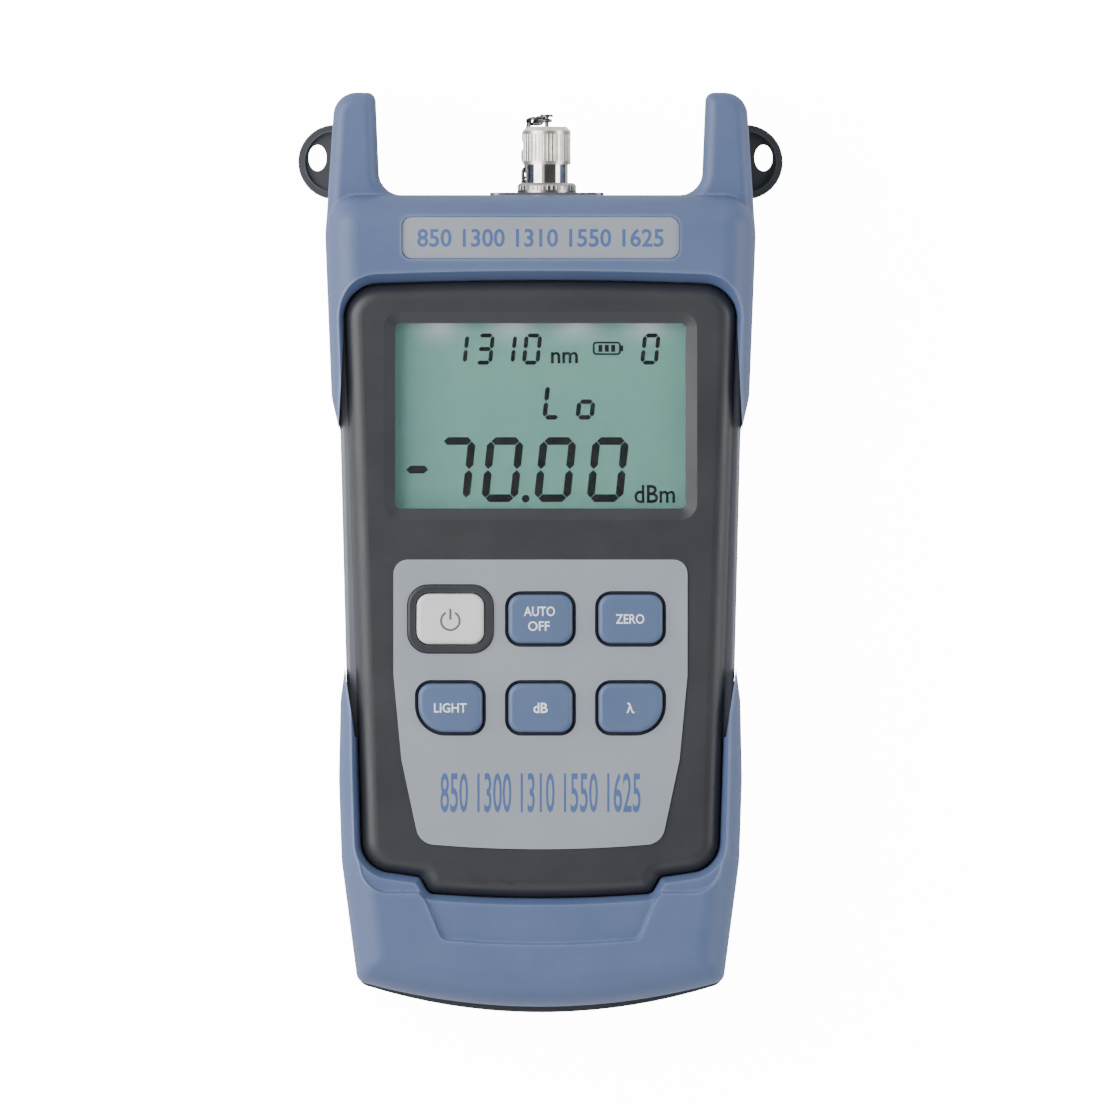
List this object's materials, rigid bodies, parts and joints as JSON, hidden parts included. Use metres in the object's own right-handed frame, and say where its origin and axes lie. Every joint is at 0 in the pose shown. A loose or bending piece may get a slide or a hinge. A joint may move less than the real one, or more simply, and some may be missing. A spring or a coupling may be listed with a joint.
{
  "type": "optical power meter",
  "caption": "Handheld optical power meter with rubber bumpers, a display, soft keys, strap lugs and a capped screw-on fibre port between two horns.",
  "frame": {"origin": "middle of the resting back, at the bottom of the bounding box: the meter lies on its back", "axes": "+X to the right across the face, +Y along the case towards the optical port, +Z out of the face"},
  "size_m": [0.0924, 0.175, 0.033],
  "materials": {
    "dark_plastic": "fine grain",
    "silver_plastic": "satin, with a metallic paint",
    "charcoal_plastic": "satin",
    "blue_rubber": "soft matte",
    "silver_plate": "satin",
    "clear_window": "clear",
    "display_glass": "smooth",
    "display_ink": "flat",
    "light_guide": "milky",
    "grey_silicone": "soft",
    "white_key": "satin",
    "blue_key": "satin",
    "green_board": "solder mask",
    "black_epoxy": "matte",
    "zinc_steel": "zinc plated",
    "grey_metal": "anodised",
    "nickel": "nickel plated",
    "white_ceramic": "polished",
    "cell_wrap": "printed film, bare"
  },
  "bodies": {
    "root": {"rear_housing": "dark_plastic", "front_housing": "silver_plastic", "front_panel": "charcoal_plastic", "top_bumper": "blue_rubber", "bottom_bumper": "blue_rubber", "name_plate": "silver_plate", "keypad_plate": "silver_plate", "display_window": "clear_window", "lcd_glass": "display_glass", "lcd_segments": "display_ink", "lcd_backlight": "light_guide", "backlight_leds": "light_guide", "rubber_strips": "grey_silicone", "keypad_mat": "grey_silicone", "main_board": "green_board", "board_chips": "black_epoxy", "board_capacitors": "black_epoxy", "board_screws": "zinc_steel", "port_plate": "grey_metal", "optical_adapter": "nickel", "ferrule_sleeve": "white_ceramic", "photodiode": "nickel", "chain_ring": "nickel", "base_nut": "nickel", "battery_cell_1": "cell_wrap", "battery_cell_2": "cell_wrap", "battery_cell_3": "cell_wrap", "battery_contacts": "zinc_steel", "battery_springs": "zinc_steel", "housing_screws": "zinc_steel"},
    "key_power": {"key_power": "white_key"},
    "key_auto_off": {"key_auto_off": "blue_key"},
    "key_zero": {"key_zero": "blue_key"},
    "key_light": {"key_light": "blue_key"},
    "key_db": {"key_db": "blue_key"},
    "key_lambda": {"key_lambda": "blue_key"},
    "cap_swivel": {"cap_rivet": "nickel", "cap_chain": "nickel"},
    "dust_cap": {"dust_cap": "nickel", "cap_seal": "grey_silicone"},
    "battery_door": {"battery_door": "dark_plastic"}
  },
  "joints": [
    {"name": "power_press", "type": "slide", "parent": "root", "child": "key_power", "axis": [0, 0, -1], "range_m": [0, 0.0009], "stiffness_N_per_m": 600, "deforming": ["keypad_mat"]},
    {"name": "auto_off_press", "type": "slide", "parent": "root", "child": "key_auto_off", "axis": [0, 0, -1], "range_m": [0, 0.0009], "stiffness_N_per_m": 600, "deforming": ["keypad_mat"]},
    {"name": "zero_press", "type": "slide", "parent": "root", "child": "key_zero", "axis": [0, 0, -1], "range_m": [0, 0.0009], "stiffness_N_per_m": 600, "deforming": ["keypad_mat"]},
    {"name": "light_press", "type": "slide", "parent": "root", "child": "key_light", "axis": [0, 0, -1], "range_m": [0, 0.0009], "stiffness_N_per_m": 600, "deforming": ["keypad_mat"]},
    {"name": "db_press", "type": "slide", "parent": "root", "child": "key_db", "axis": [0, 0, -1], "range_m": [0, 0.0009], "stiffness_N_per_m": 600, "deforming": ["keypad_mat"]},
    {"name": "lambda_press", "type": "slide", "parent": "root", "child": "key_lambda", "axis": [0, 0, -1], "range_m": [0, 0.0009], "stiffness_N_per_m": 600, "deforming": ["keypad_mat"]},
    {"name": "dust_cap_lift", "type": "slide", "parent": "root", "child": "cap_swivel", "axis": [0, 1, 0], "range_m": [0, 0.018], "deforming": ["cap_chain"]},
    {"name": "dust_cap_turn", "type": "hinge", "parent": "cap_swivel", "child": "dust_cap", "pos_m": [0.0012, 0.078, 0.0165], "axis": [0, 1, 0], "continuous": true},
    {"name": "battery_door_swing", "type": "hinge", "parent": "root", "child": "battery_door", "pos_m": [0, -0.0053, 0.0012], "axis": [1, 0, 0], "range_deg": [0, 75]}
  ]
}
